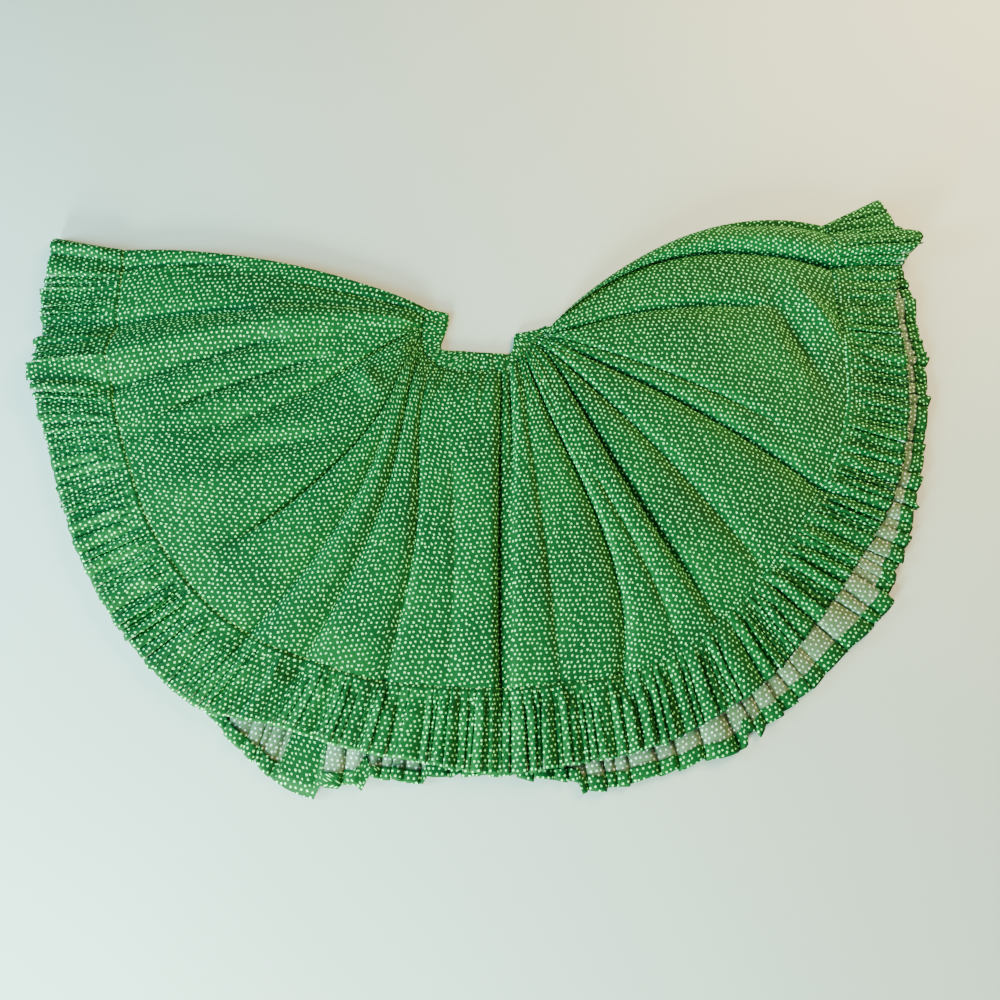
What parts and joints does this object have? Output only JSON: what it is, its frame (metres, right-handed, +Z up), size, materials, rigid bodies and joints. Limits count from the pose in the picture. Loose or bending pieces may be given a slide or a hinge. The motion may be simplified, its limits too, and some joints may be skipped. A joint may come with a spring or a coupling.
{
  "type": "square dance skirt laid flat",
  "caption": "Full gored cotton skirt with an elastic waist casing and a gathered hem ruffle, laid flat as a wide fan.",
  "frame": {"origin": "middle of the laid-out skirt's outline, on the surface it lies on", "axes": "+Z up out of the surface, +Y from the hem towards the waist, +X across the fan to the front's right-hand side in the view from above"},
  "size_m": [1.3512, 0.902, 0.033],
  "materials": {
    "calico": "green cotton with small cream dots",
    "calico_wrong_side": "pale wrong side of the same cotton"
  },
  "bodies": {
    "root": {"body_front_left": "calico", "body_front_right": "calico", "body_back_left": "calico_wrong_side", "body_back_right": "calico_wrong_side", "ruffle_front_left": "calico", "ruffle_front_right": "calico", "ruffle_back_left": "calico_wrong_side", "ruffle_back_right": "calico_wrong_side", "waistband_front": "calico", "waistband_back": "calico"}
  },
  "joints": []
}
